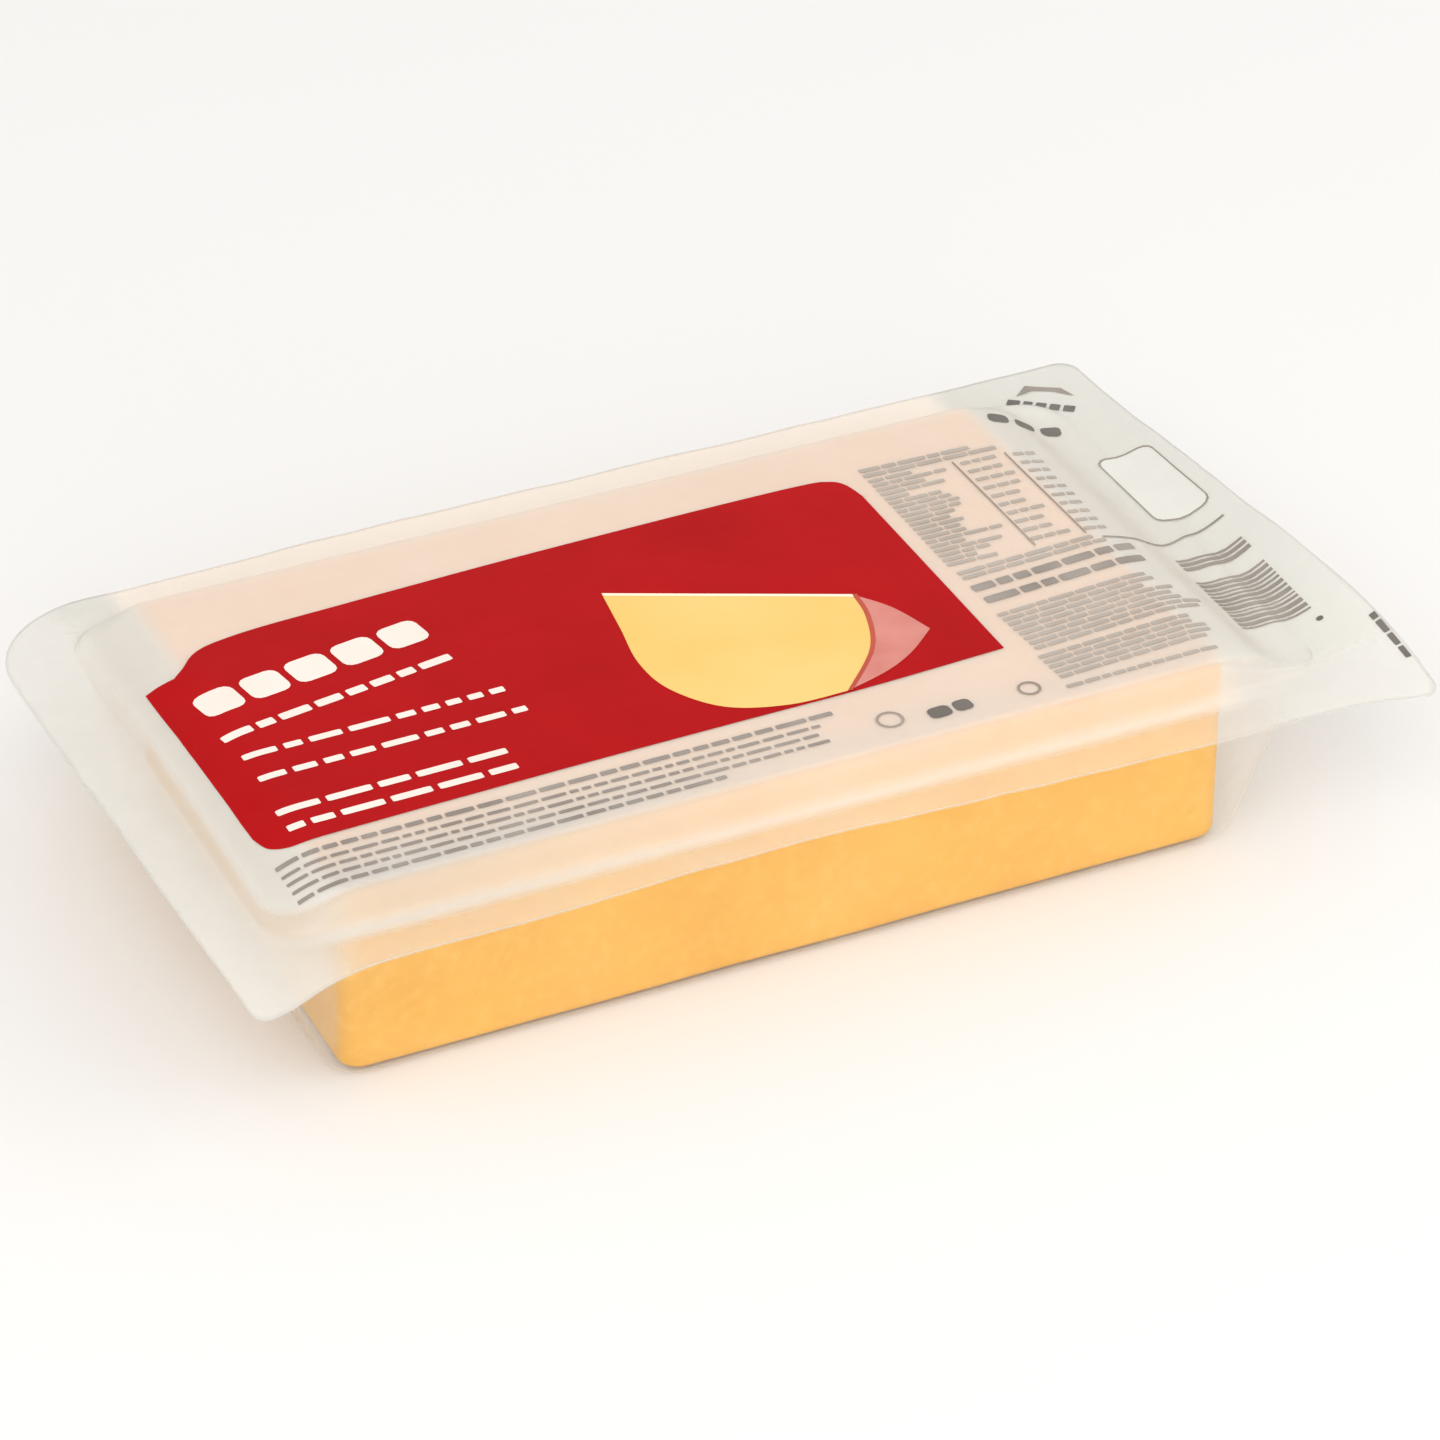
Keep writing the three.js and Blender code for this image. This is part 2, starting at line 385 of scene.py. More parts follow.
def trayMaterial():
    # Thermoformed nylon and polythene film: glossy and clear, a little hazy where it was stretched
    material, tree = newMaterial("thermoformedTrayFilm")
    place = addNode(tree, "ShaderNodeTexCoord")
    cloud = addNode(tree, "ShaderNodeTexNoise", {"Scale": 55, "Detail": 3},
                    {"Vector": place.outputs["Object"]})  # haze patches of about 18 mm
    ripple = addNode(tree, "ShaderNodeTexNoise", {"Scale": 160, "Detail": 2, "Distortion": 0.6},
                     {"Vector": place.outputs["Object"]})  # draw lines of about 6 mm
    low, high = tray["haze"]
    haze = addNode(tree, "ShaderNodeMapRange", {
        "From Min": 0.3, "From Max": 0.7, "To Min": low, "To Max": high}, {"Value": cloud.outputs["Fac"]})
    stretch = addNode(tree, "ShaderNodeAttribute", {"attribute_name": "stretch"})
    whiter = addNode(tree, "ShaderNodeMath", {"operation": "MULTIPLY_ADD", 1: tray["endHaze"]},
                     {0: stretch.outputs["Fac"], 2: haze.outputs[0]})
    colour = addNode(tree, "ShaderNodeMix", {
        "data_type": "RGBA", 6: hexColour(tray["tint"]), 7: hexColour(tray["tintPale"])},
        {0: cloud.outputs["Fac"]})
    bump = addNode(tree, "ShaderNodeBump", {"Strength": 0.3, "Distance": 0.0004},
                   {"Height": ripple.outputs["Fac"]})
    filmShader(tree, tray, whiter.outputs[0], colour.outputs[2], bump.outputs[0])
    return material


def endWall(place):
    # 1 past the block's ends, between the foot and the flange
    begins, full, fades, ends = tray["drawHeights"]
    wall = smoothStep(begins, full, place.z) * (1 - smoothStep(fades, ends, place.z))
    return wall * smoothStep(cheeseHigh.x, cheeseHigh.x + tray["drawStart"], abs(place.x))


def makeTray():
    inner = hub(tray["foot"])
    bottom = pack["filmThickness"] / 2
    sections = []
    for side in range(4):
        corners = [
            (inner[side], bottom, 0, 0, 0),
            (tray["foot"][side], bottom, tray["footCorner"], 0, tray["footRound"][side]),
            (pack["mouth"][side], pack["flangeLevel"], pack["mouthCorner"], 0, tray["lipRound"]),
            *flangeCorners(side, pack["flangeLevel"]),
        ]
        sections.append(sectionPoints(corners, [(count, 0) for count in tray["steps"]]))
    bm = sheetMesh(sections)
    bm.normal_update()
    for vert in bm.verts:
        spot = Vector((vert.co.x, vert.co.y, vert.co.z * tray["heightShare"])) / tray["drawWave"]
        vert.co += vert.normal * (tray["drawDepth"] * endWall(vert.co) * noise.noise(spot))
    film = thickened(meshObject("tray_web", bm, trayMaterial()))
    addShares(film, ["stretch"], [(endWall(vert.co / mm),) for vert in film.data.vertices])
    return film


# Lid film: milky top web, printed

lid = {
    "overCheese": 0.12,                 # air between the cheese and the film's underside
    "sag": (0, 1.6, 0, 0.5),            # how far the free film hangs, front, right, back, left
    "shoulderGap": 0.45,
    "shoulderRound": (2.8, 36, 2.8, 24),   # wide at the ends, where the film leaves the block gently
    "shoulderCorner": 4,
    "seatRound": 2,
    "seatMargin": 0.5,
    "steps": (24, 10, 2, 12),           # across the top, the free film, the seat and the flange
    "freeEnds": (-4, 5),                # the film comes free across this stretch past the block's ends
    "seatEnds": (101, 107), "seatShift": 6,   # and is seated again here, this much sooner on the left
    "seatSides": (48, 54),
    "creaseWave": 7, "creaseHeight": 0.22, "creaseSeed": 5,
    "lengthShare": 0.35,                # lengths count less, so the creases run along the pack
    "clingWave": 17, "clingHeight": 0.08, "clingSides": (47, 51), "clingSeed": 40,
    # The second colour is a painted glow: the film where it lies on the cheese, brighter and warmer,
    # standing in for light coming up through the cheese
    "film": "#EFEEE9", "paintedGlowFilm": "#FFF9F1",
    "roughness": 0.3, "edgeGloss": 0.6,
    "cover": (0.15, 0.74),              # share that each face of the film hides, welded and printed white
    "bare": 0.4,                        # where the bare film lies between the two
    "patches": 0.045,                   # how much more or less the film hides in patches
    "standOff": 0.22,                   # how much more the white film hides where it stands off the cheese
    "groundLeft": -97.2, "groundFront": -51.0, "groundCorner": 9,
    "groundFade": (1, 0.8, 1),          # half the width of its edge on the left, in front, at the corner
    "weldFade": 4, "weldEnds": (-2, 10),   # the clear front weld comes in, and ends past the block
    "paintedLipHighlight": 0.3, "lipHighlightWidth": 1.6,  # a painted highlight: a paler line where the weld starts along the front, standing in for the light the film's bend there reflects
    "contactEnds": (-3, 1.5),           # the film leaves the cheese across this stretch at its ends
    "contactFront": 16,                 # it clings less over this stretch behind the front edge
    "frontCling": 0.7, "frontSpan": (-80, 20),   # not at all on the left, and this much on the right
}


def lidMaterial():
    # Coextruded lidding film with a white ink ground: milky and satin, with a painted warm glow where it
    # lies on the cheese
    material, tree = newMaterial("milkyLiddingFilm")
    place = addNode(tree, "ShaderNodeTexCoord")
    ground = addNode(tree, "ShaderNodeAttribute", {"attribute_name": "ground"})
    contactAndGlow = addNode(tree, "ShaderNodeAttribute", {"attribute_name": "contactAndGlow"})
    cloud = addNode(tree, "ShaderNodeTexNoise", {"Scale": 45, "Detail": 4, "Roughness": 0.55},
                    {"Vector": place.outputs["Object"]})  # where the film clings or stands off, 20 mm
    ripple = addNode(tree, "ShaderNodeTexNoise", {"Scale": 230, "Detail": 2, "Distortion": 0.4},
                     {"Vector": place.outputs["Object"]})  # cling wrinkles of about 4 mm
    low, high = lid["cover"]
    cover = addNode(tree, "ShaderNodeMapRange", {"To Min": low, "To Max": high},
                    {"Value": ground.outputs["Fac"]})
    patch = addNode(tree, "ShaderNodeMapRange", {
        "From Min": 0.25, "From Max": 0.75, "To Min": -lid["patches"], "To Max": lid["patches"]},
        {"Value": cloud.outputs["Fac"]})
    clung = addNode(tree, "ShaderNodeMath", {"operation": "ADD"},
                    {0: cover.outputs[0], 1: patch.outputs[0]})
    away = addNode(tree, "ShaderNodeMath", {"operation": "SUBTRACT", 0: 1.0}, {1: contactAndGlow.outputs["Fac"]})
    whiter = addNode(tree, "ShaderNodeMath", {"operation": "MULTIPLY"},
                     {0: ground.outputs["Fac"], 1: away.outputs[0]})
    haze = addNode(tree, "ShaderNodeMath", {"operation": "MULTIPLY_ADD", 1: lid["standOff"]},
                   {0: whiter.outputs[0], 2: clung.outputs[0]})
    # Painted glow: the film's colour turns brighter and warmer where it lies on the cheese, standing in for
    # light coming up through it
    colour = addNode(tree, "ShaderNodeMix", {
        "data_type": "RGBA", 6: hexColour(lid["film"]), 7: hexColour(lid["paintedGlowFilm"])},
        {0: contactAndGlow.outputs["Fac"]})
    bump = addNode(tree, "ShaderNodeBump", {"Strength": 0.25, "Distance": 0.0003},
                   {"Height": ripple.outputs["Fac"]})
    filmShader(tree, lid, haze.outputs[0], colour.outputs[2], bump.outputs[0])
    return material


def pastEnds(span, x):
    # 0 to 1 across a stretch that is given from the block's end
    return smoothStep(cheeseHigh.x + span[0], cheeseHigh.x + span[1], abs(x))


def lidShares(x, y):
    # ground: 0 on the clear weld along the front, bare film between, 1 in the white ink zone, plus a painted
    # highlight along the weld's start
    # contact: 1 where the film lies on the cheese, which is also where the film gets its painted warm glow
    fadeX, fadeY, fadeRound = lid["groundFade"]
    gx = smoothStep(lid["groundLeft"] - fadeX, lid["groundLeft"] + fadeX, x)
    gy = smoothStep(lid["groundFront"] - fadeY, lid["groundFront"] + fadeY, y)
    corner = Vector((lid["groundLeft"] + lid["groundCorner"], lid["groundFront"] + lid["groundCorner"]))
    if x < corner.x and y < corner.y:
        away = (Vector((x, y)) - corner).length
        gx = 1
        gy = 1 - smoothStep(lid["groundCorner"] - fadeRound, lid["groundCorner"] + fadeRound, away)
    weld = pack["mouth"][0] + pack["weldStart"]
    length = 1 - pastEnds(lid["weldEnds"], x)
    welded = smoothStep(weld, weld + lid["weldFade"], -y) * length
    # A painted highlight: the film is made whiter along a narrow line where the weld starts, standing in for
    # the light its bend reflects
    highlightBand = math.exp(-((y + weld) / lid["lipHighlightWidth"]) ** 2) * length
    ground = lid["bare"] * (1 - welded) + (1 - lid["bare"]) * gx * gy + lid["paintedLipHighlight"] * highlightBand
    along = 1 - pastEnds(lid["contactEnds"], x)
    front = smoothStep(-cheeseHigh.y, -cheeseHigh.y + lid["contactFront"], y)
    clings = front + (1 - front) * smoothStep(*lid["frontSpan"], x) * lid["frontCling"]
    return min(ground, 1), along * clings


def makeLid():
    thickness = pack["filmThickness"]
    top = cheeseTop + lid["overCheese"] + thickness / 2
    seat = pack["flangeLevel"] + thickness + pack["weldGap"]
    reach = [half + lid["shoulderGap"] for half in (cheeseHigh.y, cheeseHigh.x) * 2]
    inner = hub(reach)
    sections = []
    for side in range(4):
        corners = [
            (inner[side], top, 0, 0, 0),
            (reach[side], top, lid["shoulderCorner"], 0, lid["shoulderRound"][side]),
            (pack["mouth"][side] + lid["seatMargin"], seat, pack["mouthCorner"], 0, lid["seatRound"]),
            *flangeCorners(side, seat),
        ]
        sags = (0, lid["sag"][side], 0, 0)
        sections.append(sectionPoints(corners, list(zip(lid["steps"], sags))))
    bm = sheetMesh(sections)
    for vert in bm.verts:
        x, y = vert.co.xy
        free = pastEnds(lid["freeEnds"], x)
        free *= 1 - smoothStep(*lid["seatEnds"], abs(x) + (lid["seatShift"] if x < 0 else 0))
        free *= 1 - smoothStep(*lid["seatSides"], abs(y))
        fold = noise.noise(Vector((x * lid["lengthShare"], y, lid["creaseSeed"])) / lid["creaseWave"])
        cling = 0.5 + 0.5 * noise.noise(Vector((x, y, lid["clingSeed"])) / lid["clingWave"])
        on = 1 - smoothStep(*lid["clingSides"], abs(y))
        vert.co.z += lid["creaseHeight"] * free * fold + lid["clingHeight"] * on * (1 - free) * cling
    film = thickened(meshObject("lid_web", bm, lidMaterial()))
    rows = [lidShares(vert.co.x / mm, vert.co.y / mm) for vert in film.data.vertices]
    addShares(film, ["ground", "contactAndGlow"], rows)
    return film


trayPiece = makeTray()
lidPiece = makeLid()
print("films done")


# Print on the lid: thin layers of ink that follow the film

printing = {
    "lift": 0.09,                # above the film
    "layer": 0.03,
    "overprint": 0.07,           # a second ink on the first
    "flatCut": 9, "shoulderCut": 0.7, "bentCut": 2,   # between cuts on the block, at its edge, past it
    "shoulderSpan": (6, 4),      # the edge's stretch, inside and outside the block
    "reach": (122, 68),          # no ink lies further out than this
    "sliver": 0.01,              # points this near after the cuts are made one
    "roughness": 0.42, "gloss": 0.04,
}


def cutLines(half, outer):
    # Where ink is cut to follow the film: wide apart on the flat, close together round the shoulder
    inside, outside = printing["shoulderSpan"]
    lines = []
    at = 0
    while at < outer:
        lines.append(at)
        if at < half - inside:
            at += printing["flatCut"]
        elif at < half + outside:
            at += printing["shoulderCut"]
        else:
            at += printing["bentCut"]
    return sorted({-line for line in lines} | set(lines))


cutX = cutLines(cheeseHigh.x, printing["reach"][0])
cutY = cutLines(cheeseHigh.y, printing["reach"][1])


def curvedOutline(stretches, steps=8):
    # Catmull-Rom stretches that meet in sharp corners; each stretch starts where the last one ended
    outline = []
    for stretch in stretches:
        points = [Vector(point) for point in stretch]
        for i in range(len(points) - 1):
            p0, p1, p2 = points[max(i - 1, 0)], points[i], points[i + 1]
            p3 = points[min(i + 2, len(points) - 1)]
            count = 1 if len(points) == 2 else steps
            for j in range(count):
                t = j / count
                outline.append(0.5 * (2 * p1 + (p2 - p0) * t + (2 * p0 - 5 * p1 + 4 * p2 - p3) * t ** 2
                                      + (3 * p1 - 3 * p2 + p3 - p0) * t ** 3))
    return outline


def flatShape(bm, outline):
    bm.faces.new([bm.verts.new((x, y, 0)) for x, y in outline])


def inkPiece(name, bm, material, height):
    # Cuts the flat shapes to follow the film, lays them on it and gives the ink its thickness
    bmesh.ops.triangulate(bm, faces=[face for face in bm.faces if len(face.verts) > 4])
    for axis, lines in ((0, cutX), (1, cutY)):
        lowest = min(vert.co[axis] for vert in bm.verts)
        highest = max(vert.co[axis] for vert in bm.verts)
        for line in lines:
            if lowest < line < highest:
                at = Vector((0, 0, 0))
                at[axis] = line
                normal = Vector((0, 0, 0))
                normal[axis] = 1
                geom = bm.verts[:] + bm.edges[:] + bm.faces[:]
                bmesh.ops.bisect_plane(bm, geom=geom, plane_co=at, plane_no=normal)
    bmesh.ops.remove_doubles(bm, verts=bm.verts, dist=printing["sliver"])
    down = Vector((0, 0, -1))
    for vert in bm.verts:
        above = Vector((vert.co.x * mm, vert.co.y * mm, 1))  # a metre up
        hit = lidTree.ray_cast(above, down)[0]
        if hit is None:
            raise ValueError(f"{name} reaches past the lid at {vert.co.xy}")
        vert.co.z = hit.z / mm + height
    under = bm.faces[:]
    grown = bmesh.ops.extrude_face_region(bm, geom=under, use_keep_orig=True)
    raised = [item for item in grown["geom"] if isinstance(item, bmesh.types.BMVert)]
    bmesh.ops.translate(bm, verts=raised, vec=(0, 0, printing["layer"]))
    bmesh.ops.recalc_face_normals(bm, faces=bm.faces)
    return meshObject(name, bm, material)


lidTree = BVHTree.FromObject(lidPiece, bpy.context.evaluated_depsgraph_get())

inks = {
    # each ink's colour, and the one it drifts to
    "red": ("#AF0D11", "#A50A0E"),
    "white": ("#EBDBCF", "#EFE1D7"),
    "grey": ("#8A8179", "#A0978E"),
    "paleGrey": ("#A89E93", "#B5ABA0"),
    "darkGrey": ("#6A645E", "#79736D"),
    "face": ("#F1CA7F", "#EDBF6B"),
    "rind": ("#C7766B", "#D48D82"),
    "rindEdge": ("#BE5A49", "#B55040"),
    "cutEdge": ("#F6E8C6", "#F9EED4"),
    "field": ("#DCDAD2", "#D7D5CD"),
}


def inkMaterial(name, ink, scale, shift=(0, 0)):
    # Gravure ink: even and satin, with a faint mottle where the cells carried more or less of it
    # scale is how many patches of mottle a metre holds; shift, in metres, picks another part of it
    first, second = inks[ink]
    material, tree = newMaterial(name)
    place = addNode(tree, "ShaderNodeTexCoord")
    moved = addNode(tree, "ShaderNodeMapping", {"Location": (*shift, 0)},
                    {"Vector": place.outputs["Object"]})
    cloud = addNode(tree, "ShaderNodeTexNoise", {"Scale": scale, "Detail": 3},
                    {"Vector": moved.outputs[0]})
    ramp = addNode(tree, "ShaderNodeMapRange", {"From Min": 0.3, "From Max": 0.7},
                   {"Value": cloud.outputs["Fac"]})
    colour = addNode(tree, "ShaderNodeMix", {
        "data_type": "RGBA", 6: hexColour(first), 7: hexColour(second)}, {0: ramp.outputs[0]})
    ripple = addNode(tree, "ShaderNodeTexNoise", {"Scale": 230, "Detail": 2, "Distortion": 0.4},
                     {"Vector": place.outputs["Object"]})  # the film's cling wrinkles
    bump = addNode(tree, "ShaderNodeBump", {"Strength": 0.2, "Distance": 0.0003},
                   {"Height": ripple.outputs["Fac"]})
    shader = addNode(tree, "ShaderNodeBsdfPrincipled", {
        "IOR": 1.5, "Roughness": printing["roughness"], "Specular IOR Level": printing["gloss"]},
        {"Base Color": colour.outputs[2], "Normal": bump.outputs[0]})
    addNode(tree, "ShaderNodeOutputMaterial", {}, {"Surface": shader.outputs[0]})
    return material


redInk = inkMaterial("redGravureInk", "red", 40)
whiteInk = inkMaterial("whiteGravureInk", "white", 60)
tableInk = inkMaterial("paleGreyGravureInk", "paleGrey", 90)
greyInk = inkMaterial("greyGravureInk", "grey", 90)
boldInk = inkMaterial("darkGreyGravureInk", "darkGrey", 90)

panelOutline = [
    [(-93.6, 24.8), (-88, 24.8)],
    [(-88, 24.8), (-85.6, 26.8), (-83.1, 29.6), (-80.4, 31.4), (-76.4, 32.6), (-68, 33.8), (-52, 34.7),
     (-15, 36.5), (22.4, 37.4), (43.4, 37.4), (49, 36.4), (51.4, 34), (52.5, 29)],
    [(52.5, 29), (51.8, -30.8)],
    [(51.8, -30.8), (21.7, -32.2), (-9.7, -32.6), (-48.7, -33.4), (-84, -34.6)],
    [(-84, -34.6), (-88.4, -34.3), (-91.4, -31.8), (-92.6, -27.4)],
    [(-92.6, -27.4), (-93, 3), (-93.6, 24.8)],
]

wedge = {
    "tip": (-6.8, 17.6), "heel": (34.9, -2.5), "toe": (19.8, -31.7), "rindTip": (42.6, -19.2),
    "belly": [(8.4, -31.4), (-2.4, -27.1), (-9.0, -17.5), (-10.4, -7), (-8.6, 5)],
    "bulge": [(33.8, -10.5), (29.4, -21)],
    "rindTop": [(39.6, -9.6)],
    "rindFoot": [(36, -24.9), (29, -28.8)],
    "cutEdge": 0.9,           # width of the pale cut edge under the top line
    "rindEdge": (0.9, -0.2),  # how far the rind's edge stands out from the face
}


def outlinePiece(name, stretches, material, height):
    bm = bmesh.new()
    flatShape(bm, curvedOutline(stretches))
    return inkPiece(name, bm, material, height)


def makePicture():
    # A generic cut of cheese: its yellow face, a thin cut edge along the top, and the rind behind
    over = printing["lift"] + printing["overprint"]
    tip, heel, toe, rindTip = wedge["tip"], wedge["heel"], wedge["toe"], wedge["rindTip"]
    faceInk = inkMaterial("yellowGravureInk", "face", 30, shift=(0.13, 0.091))
    rindInk = inkMaterial("pinkGravureInk", "rind", 75, shift=(0.4, 0.28))
    rindEdgeInk = inkMaterial("brickGravureInk", "rindEdge", 60)
    edgeInk = inkMaterial("creamGravureInk", "cutEdge", 60)
    pieces = [outlinePiece("print_picture_face", [
        [tip, heel],
        [heel, *wedge["bulge"], toe],
        [toe, *wedge["belly"], tip]], faceInk, over)]
    pieces.append(outlinePiece("print_picture_rind", [
        [heel, *wedge["rindTop"], rindTip],
        [rindTip, *wedge["rindFoot"], toe],
        [toe, *reversed(wedge["bulge"]), heel]], rindInk, over))
    lower = [Vector(p) - Vector((0, wedge["cutEdge"])) for p in (heel, tip)]
    pieces.append(outlinePiece("print_picture_cut_edge", [
        [tip, heel], [heel, lower[0]], lower, [lower[1], tip]],
        edgeInk, over + printing["overprint"]))
    shift = Vector(wedge["rindEdge"])
    outer = [Vector(p) + shift for p in (toe, *reversed(wedge["bulge"]), heel)]
    pieces.append(outlinePiece("print_picture_rind_edge", [
        [heel, *wedge["bulge"], toe], [toe, outer[0]], outer, [outer[-1], heel]],
        rindEdgeInk, over + printing["overprint"]))
    return pieces


printPieces = [outlinePiece("print_red_panel", panelOutline, redInk, printing["lift"])]
printPieces += makePicture()
print("panel and picture done")


# Rows of plain bars stand where the pack carries words and numbers

def barRowsTree():
    tree = bpy.data.node_groups.new("barRows", "GeometryNodeTree")
    inputs = (
        ("Rows", "NodeSocketInt"), ("Bars", "NodeSocketInt"), ("Row Length", "NodeSocketFloat"),
        ("Row Spacing", "NodeSocketFloat"), ("Bar Height", "NodeSocketFloat"),
        ("Shortest", "NodeSocketFloat"), ("Longest", "NodeSocketFloat"), ("Gap", "NodeSocketFloat"),
        ("Fullest", "NodeSocketFloat"), ("Corner", "NodeSocketFloat"), ("Seed", "NodeSocketInt"),
        ("Ink", "NodeSocketMaterial"),
    )
    for name, kind in inputs:
        tree.interface.new_socket(name, in_out="INPUT", socket_type=kind)
    tree.interface.new_socket("Geometry", in_out="OUTPUT", socket_type="NodeSocketGeometry")
    given = addNode(tree, "NodeGroupInput").outputs
    index = addNode(tree, "GeometryNodeInputIndex").outputs[0]
    total = addNode(tree, "ShaderNodeMath", {"operation": "MULTIPLY"}, {0: given["Rows"], 1: given["Bars"]})
    divided = addNode(tree, "ShaderNodeMath", {"operation": "DIVIDE"}, {0: index, 1: given["Bars"]})
    row = addNode(tree, "ShaderNodeMath", {"operation": "FLOOR"}, {0: divided.outputs[0]}).outputs[0]
    points = addNode(tree, "GeometryNodeMeshLine", {}, {"Count": total.outputs[0]})
    size = addNode(tree, "FunctionNodeRandomValue", {"data_type": "FLOAT"},
                   {2: given["Shortest"], 3: given["Longest"], "ID": index, "Seed": given["Seed"]})
    pitch = addNode(tree, "ShaderNodeMath", {"operation": "ADD"}, {0: size.outputs[1], 1: given["Gap"]})
    start = addNode(tree, "GeometryNodeAccumulateField", {"data_type": "FLOAT", "domain": "POINT"},
                    {0: pitch.outputs[0], 1: row}).outputs["Trailing"]
    half = addNode(tree, "ShaderNodeMath", {"operation": "MULTIPLY_ADD", 1: 0.5},
                   {0: size.outputs[1], 2: start})
    end = addNode(tree, "ShaderNodeMath", {"operation": "ADD"}, {0: start, 1: size.outputs[1]})
    fill = addNode(tree, "FunctionNodeRandomValue", {"data_type": "FLOAT", 3: 1.0},
                   {2: given["Fullest"], "ID": row, "Seed": given["Seed"]})
    limit = addNode(tree, "ShaderNodeMath", {"operation": "MULTIPLY"},
                    {0: fill.outputs[1], 1: given["Row Length"]})
    beyond = addNode(tree, "ShaderNodeMath", {"operation": "GREATER_THAN"},
                     {0: end.outputs[0], 1: limit.outputs[0]})
    drop = addNode(tree, "ShaderNodeMath", {"operation": "MULTIPLY"}, {0: row, 1: given["Row Spacing"]})
    lower = addNode(tree, "ShaderNodeMath", {"operation": "MULTIPLY", 1: -1.0}, {0: drop.outputs[0]})
    place = addNode(tree, "ShaderNodeCombineXYZ", {}, {0: half.outputs[0], 1: lower.outputs[0]})
    laid = addNode(tree, "GeometryNodeSetPosition", {},
                   {"Geometry": points.outputs[0], "Position": place.outputs[0]})
    scale = addNode(tree, "ShaderNodeCombineXYZ", {2: 1.0},
                    {0: size.outputs[1], 1: given["Bar Height"]})
    keep = addNode(tree, "ShaderNodeMath", {"operation": "SUBTRACT", 0: 1.0}, {1: beyond.outputs[0]})
    square = addNode(tree, "GeometryNodeCurvePrimitiveQuadrilateral", {"Width": 1.0, "Height": 1.0})
    rounded = addNode(tree, "GeometryNodeFilletCurve", {"mode": "POLY", "Count": 3},
                      {"Curve": square.outputs[0], "Radius": given["Corner"]})
    bar = addNode(tree, "GeometryNodeFillCurve", {"mode": "NGONS"}, {"Curve": rounded.outputs[0]})
    bars = addNode(tree, "GeometryNodeInstanceOnPoints", {}, {
        "Points": laid.outputs[0], "Selection": keep.outputs[0], "Instance": bar.outputs[0],
        "Scale": scale.outputs[0]})
    real = addNode(tree, "GeometryNodeRealizeInstances", {}, {"Geometry": bars.outputs[0]})
    inked = addNode(tree, "GeometryNodeSetMaterial", {},
                    {"Geometry": real.outputs[0], "Material": given["Ink"]})
    addNode(tree, "NodeGroupOutput", {}, {0: inked.outputs[0]})
    return tree


barTree = barRowsTree()
barDefaults = {"Rows": 1, "Bars": 60, "Gap": 0.7, "Fullest": 0.94, "Corner": 0.12}


def addBars(bm, block, ink, seed):
    # Adds one block of rows to bm, laid out from its start towards its end
    start, end = Vector(block["start"]), Vector(block["end"])
    values = {**barDefaults, **block["bars"], "Row Length": (end - start).length, "Seed": seed, "Ink": ink}
    host = bpy.data.objects.new("barHost", bpy.data.meshes.new("barHost"))
    scene.collection.objects.link(host)
    modifier = host.modifiers.new("bars", "NODES")
    modifier.node_group = barTree
    for item in barTree.interface.items_tree:
        if item.in_out == "INPUT" and item.name in values:
            modifier[item.identifier] = values[item.name]
    depsgraph = bpy.context.evaluated_depsgraph_get()
    mesh = bpy.data.meshes.new_from_object(host.evaluated_get(depsgraph))
    along = (end - start).normalized()
    turn = math.atan2(along.y, along.x)
    mesh.transform(Matrix.Translation((start.x, start.y, 0)) @ Matrix.Rotation(turn, 4, "Z"))
    bm.from_mesh(mesh)
    bpy.data.meshes.remove(mesh)
    bpy.data.objects.remove(host)


whiteBlocks = [
    {"start": (-87.5, 12.8), "end": (-38, 21.4),
     "bars": {"Bar Height": 7.6, "Shortest": 7.6, "Longest": 8.4, "Gap": 1.5, "Corner": 0.24,
              "Fullest": 1.0}},
    {"start": (-87.3, 1.6), "end": (-40, 9.6),
     "bars": {"Bar Height": 2.1, "Shortest": 3, "Longest": 7, "Gap": 1.2, "Fullest": 1.0}},
    {"start": (-86.2, -5.6), "end": (-33, -4.6),
     "bars": {"Rows": 2, "Row Spacing": 7.6, "Bar Height": 1.7, "Shortest": 2.5, "Longest": 8,
              "Gap": 1.4, "Fullest": 0.98}},
    {"start": (-87, -24.4), "end": (-38, -23.4),
     "bars": {"Rows": 2, "Row Spacing": 5.2, "Bar Height": 1.8, "Shortest": 3, "Longest": 9,
              "Gap": 1.3}},
]

greyBlocks = [
    {"start": (-92.4, -38.0), "end": (15, -37.0), "bars": {
        "Bar Height": 1.2, "Shortest": 2.5, "Longest": 6, "Gap": 0.7, "Fullest": 1.0}},
    {"start": (-92.4, -40.9), "end": (13.6, -39.8), "bars": {
        "Rows": 3, "Row Spacing": 2.5, "Bar Height": 0.85, "Shortest": 1.4, "Longest": 5, "Gap": 0.7}},
    {"start": (-92.4, -48.6), "end": (-4, -47.4), "bars": {
        "Bar Height": 1.0, "Shortest": 1.8, "Longest": 6, "Gap": 0.7}},
    {"start": (56, -10.2), "end": (93.5, -7.6), "bars": {
        "Rows": 2, "Row Spacing": 4.6, "Bar Height": 2.2, "Shortest": 2.6, "Longest": 7, "Gap": 0.8}},
    {"start": (105.8, -10.6), "end": (105.8, -15), "bars": {
        "Bar Height": 14, "Shortest": 0.4, "Longest": 1.2, "Gap": 0.62, "Corner": 0.01, "Fullest": 1.0}},
    {"start": (105.4, -19.5), "end": (105.4, -38), "bars": {
        "Bar Height": 14.4, "Shortest": 0.4, "Longest": 1.2, "Gap": 0.62, "Corner": 0.01,
        "Fullest": 1.0}},
]

